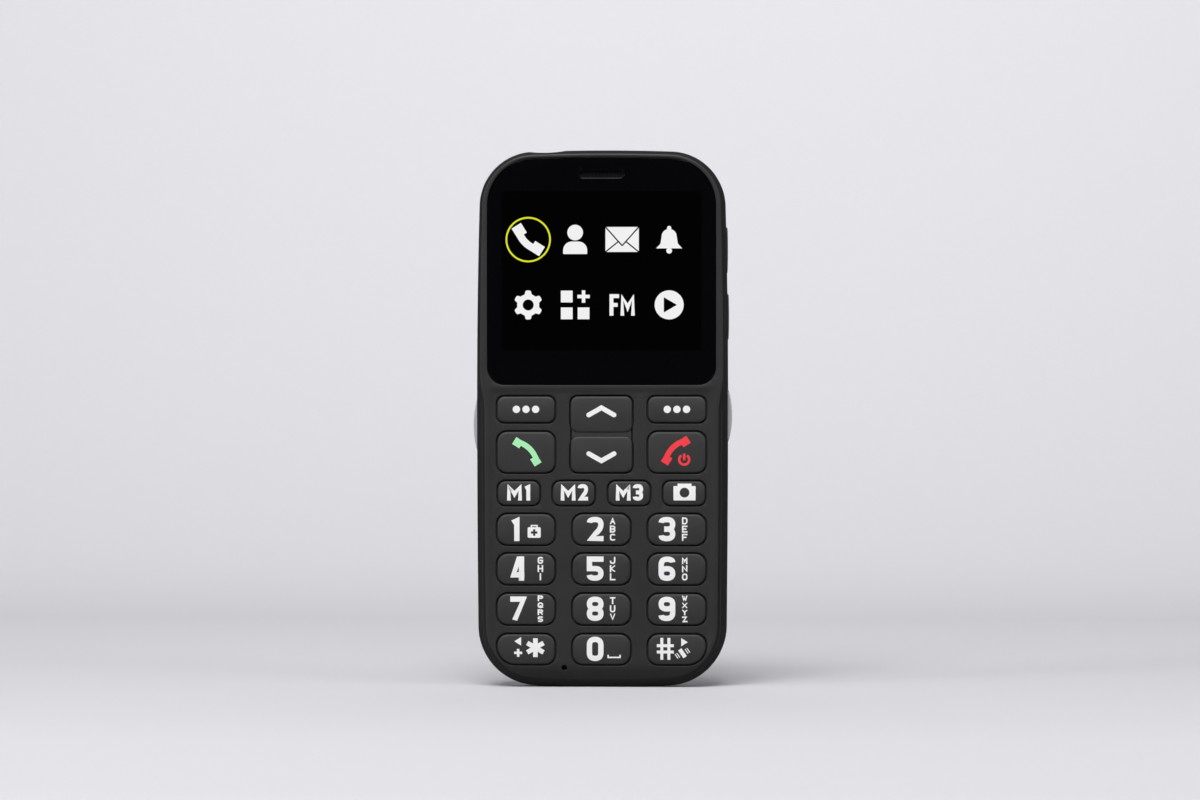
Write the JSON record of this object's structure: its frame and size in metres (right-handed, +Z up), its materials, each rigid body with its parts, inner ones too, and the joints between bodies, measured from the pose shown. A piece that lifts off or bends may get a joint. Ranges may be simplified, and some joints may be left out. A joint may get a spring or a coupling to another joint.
{
  "type": "feature phone",
  "caption": "Candybar feature phone with large keys, a black display window, side keys and a lift-off rear cover over its battery.",
  "frame": {"origin": "middle of the foot that the phone stands on, at the middle of the bounding box's bottom face", "axes": "+Z up along the phone's length, -Y out of the display and keys, +X to the right as a viewer in front of the display sees it"},
  "size_m": [0.0634, 0.0141, 0.1315],
  "materials": {
    "housing_plastic": "satin dark grey moulded plastic",
    "key_plastic": "satin dark grey with pale printed legends",
    "silver_plastic": "silver paint",
    "window_glass": "glossy black window",
    "display": "dark display",
    "lens": "clear",
    "mesh_metal": "black fine mesh",
    "silicone": "matt",
    "dome_film": "film over steel domes",
    "board": "green solder mask",
    "flex": "amber film",
    "steel": "plain steel",
    "gold": "gold plated springs",
    "socket_plastic": "black",
    "lamp": "lamp with phosphor",
    "battery_wrap": "dark wrap"
  },
  "bodies": {
    "housing": {"front_housing": "housing_plastic", "display_window": "window_glass", "earpiece_mesh": "mesh_metal", "earpiece_receiver": "socket_plastic", "display_glass": "display", "display_frame": "housing_plastic", "display_flex": "flex", "dome_sheet": "dome_film", "keymat": "silicone", "main_board": "board", "shield_cans": "steel", "microphone": "silicone", "mid_housing": "housing_plastic", "housing_screws": "steel", "headphone_jack": "socket_plastic", "charging_socket": "steel", "camera_module": "socket_plastic", "torch_lamp": "lamp", "torch_lens": "lens", "loudspeaker": "socket_plastic", "speaker_gasket": "silicone", "vibration_motor": "steel", "antenna": "flex", "phone_card_holder": "steel", "memory_card_holder": "steel", "battery_contacts": "gold", "side_switches": "socket_plastic"},
    "rear_cover": {"rear_cover": "housing_plastic", "camera_window": "lens"},
    "battery": {"battery": "battery_wrap"},
    "soft_key_left": {"soft_key_left": "key_plastic"},
    "soft_key_right": {"soft_key_right": "key_plastic"},
    "call_key": {"call_key": "key_plastic"},
    "end_key": {"end_key": "key_plastic"},
    "key_m1": {"key_m1": "key_plastic"},
    "key_m2": {"key_m2": "key_plastic"},
    "key_m3": {"key_m3": "key_plastic"},
    "camera_key": {"camera_key": "key_plastic"},
    "key_1": {"key_1": "key_plastic"},
    "key_2": {"key_2": "key_plastic"},
    "key_3": {"key_3": "key_plastic"},
    "key_4": {"key_4": "key_plastic"},
    "key_5": {"key_5": "key_plastic"},
    "key_6": {"key_6": "key_plastic"},
    "key_7": {"key_7": "key_plastic"},
    "key_8": {"key_8": "key_plastic"},
    "key_9": {"key_9": "key_plastic"},
    "key_star": {"key_star": "key_plastic"},
    "key_0": {"key_0": "key_plastic"},
    "key_hash": {"key_hash": "key_plastic"},
    "nav_key": {"nav_key": "key_plastic"},
    "volume_up_key": {"volume_up_key": "key_plastic"},
    "volume_down_key": {"volume_down_key": "key_plastic"},
    "lock_key": {"lock_key": "silver_plastic"},
    "torch_key": {"torch_key": "silver_plastic"}
  },
  "joints": [
    {"name": "soft_key_left_press", "type": "slide", "parent": "housing", "child": "soft_key_left", "axis": [0, 1, 0], "range_m": [0, 0.0004], "stiffness_N_per_m": 2000, "springref_m": -0.0001},
    {"name": "soft_key_right_press", "type": "slide", "parent": "housing", "child": "soft_key_right", "axis": [0, 1, 0], "range_m": [0, 0.0004], "stiffness_N_per_m": 2000, "springref_m": -0.0001},
    {"name": "call_key_press", "type": "slide", "parent": "housing", "child": "call_key", "axis": [0, 1, 0], "range_m": [0, 0.0004], "stiffness_N_per_m": 2000, "springref_m": -0.0001},
    {"name": "end_key_press", "type": "slide", "parent": "housing", "child": "end_key", "axis": [0, 1, 0], "range_m": [0, 0.0004], "stiffness_N_per_m": 2000, "springref_m": -0.0001},
    {"name": "key_m1_press", "type": "slide", "parent": "housing", "child": "key_m1", "axis": [0, 1, 0], "range_m": [0, 0.0004], "stiffness_N_per_m": 2000, "springref_m": -0.0001},
    {"name": "key_m2_press", "type": "slide", "parent": "housing", "child": "key_m2", "axis": [0, 1, 0], "range_m": [0, 0.0004], "stiffness_N_per_m": 2000, "springref_m": -0.0001},
    {"name": "key_m3_press", "type": "slide", "parent": "housing", "child": "key_m3", "axis": [0, 1, 0], "range_m": [0, 0.0004], "stiffness_N_per_m": 2000, "springref_m": -0.0001},
    {"name": "camera_key_press", "type": "slide", "parent": "housing", "child": "camera_key", "axis": [0, 1, 0], "range_m": [0, 0.0004], "stiffness_N_per_m": 2000, "springref_m": -0.0001},
    {"name": "key_1_press", "type": "slide", "parent": "housing", "child": "key_1", "axis": [0, 1, 0], "range_m": [0, 0.0004], "stiffness_N_per_m": 2000, "springref_m": -0.0001},
    {"name": "key_2_press", "type": "slide", "parent": "housing", "child": "key_2", "axis": [0, 1, 0], "range_m": [0, 0.0004], "stiffness_N_per_m": 2000, "springref_m": -0.0001},
    {"name": "key_3_press", "type": "slide", "parent": "housing", "child": "key_3", "axis": [0, 1, 0], "range_m": [0, 0.0004], "stiffness_N_per_m": 2000, "springref_m": -0.0001},
    {"name": "key_4_press", "type": "slide", "parent": "housing", "child": "key_4", "axis": [0, 1, 0], "range_m": [0, 0.0004], "stiffness_N_per_m": 2000, "springref_m": -0.0001},
    {"name": "key_5_press", "type": "slide", "parent": "housing", "child": "key_5", "axis": [0, 1, 0], "range_m": [0, 0.0004], "stiffness_N_per_m": 2000, "springref_m": -0.0001},
    {"name": "key_6_press", "type": "slide", "parent": "housing", "child": "key_6", "axis": [0, 1, 0], "range_m": [0, 0.0004], "stiffness_N_per_m": 2000, "springref_m": -0.0001},
    {"name": "key_7_press", "type": "slide", "parent": "housing", "child": "key_7", "axis": [0, 1, 0], "range_m": [0, 0.0004], "stiffness_N_per_m": 2000, "springref_m": -0.0001},
    {"name": "key_8_press", "type": "slide", "parent": "housing", "child": "key_8", "axis": [0, 1, 0], "range_m": [0, 0.0004], "stiffness_N_per_m": 2000, "springref_m": -0.0001},
    {"name": "key_9_press", "type": "slide", "parent": "housing", "child": "key_9", "axis": [0, 1, 0], "range_m": [0, 0.0004], "stiffness_N_per_m": 2000, "springref_m": -0.0001},
    {"name": "key_star_press", "type": "slide", "parent": "housing", "child": "key_star", "axis": [0, 1, 0], "range_m": [0, 0.0004], "stiffness_N_per_m": 2000, "springref_m": -0.0001},
    {"name": "key_0_press", "type": "slide", "parent": "housing", "child": "key_0", "axis": [0, 1, 0], "range_m": [0, 0.0004], "stiffness_N_per_m": 2000, "springref_m": -0.0001},
    {"name": "key_hash_press", "type": "slide", "parent": "housing", "child": "key_hash", "axis": [0, 1, 0], "range_m": [0, 0.0004], "stiffness_N_per_m": 2000, "springref_m": -0.0001},
    {"name": "nav_key_rock", "type": "hinge", "parent": "housing", "child": "nav_key", "pos_m": [0, -0.0028, 0.06192], "axis": [1, 0, 0], "range_deg": [-2.5, 2.5], "stiffness_Nm_per_rad": 0.08},
    {"name": "volume_up_key_press", "type": "slide", "parent": "housing", "child": "volume_up_key", "axis": [-1, 0, 0], "range_m": [0, 0.0003], "stiffness_N_per_m": 2000, "springref_m": -0.0001},
    {"name": "volume_down_key_press", "type": "slide", "parent": "housing", "child": "volume_down_key", "axis": [-1, 0, 0], "range_m": [0, 0.0003], "stiffness_N_per_m": 2000, "springref_m": -0.0001},
    {"name": "lock_key_press", "type": "slide", "parent": "housing", "child": "lock_key", "axis": [-1, 0, 0], "range_m": [0, 0.0003], "stiffness_N_per_m": 2000, "springref_m": -0.0001},
    {"name": "torch_key_press", "type": "slide", "parent": "housing", "child": "torch_key", "axis": [1, 0, 0], "range_m": [0, 0.0003], "stiffness_N_per_m": 2000, "springref_m": -0.0001},
    {"name": "rear_cover_lift", "type": "slide", "parent": "housing", "child": "rear_cover", "axis": [0, 1, 0], "range_m": [0, 0.035]},
    {"name": "battery_lift", "type": "slide", "parent": "housing", "child": "battery", "axis": [0, 1, 0], "range_m": [0, 0.014]}
  ],
  "couplings": [
    {"joint": "battery_lift", "follows": "rear_cover_lift", "ratio": 0.4}
  ]
}
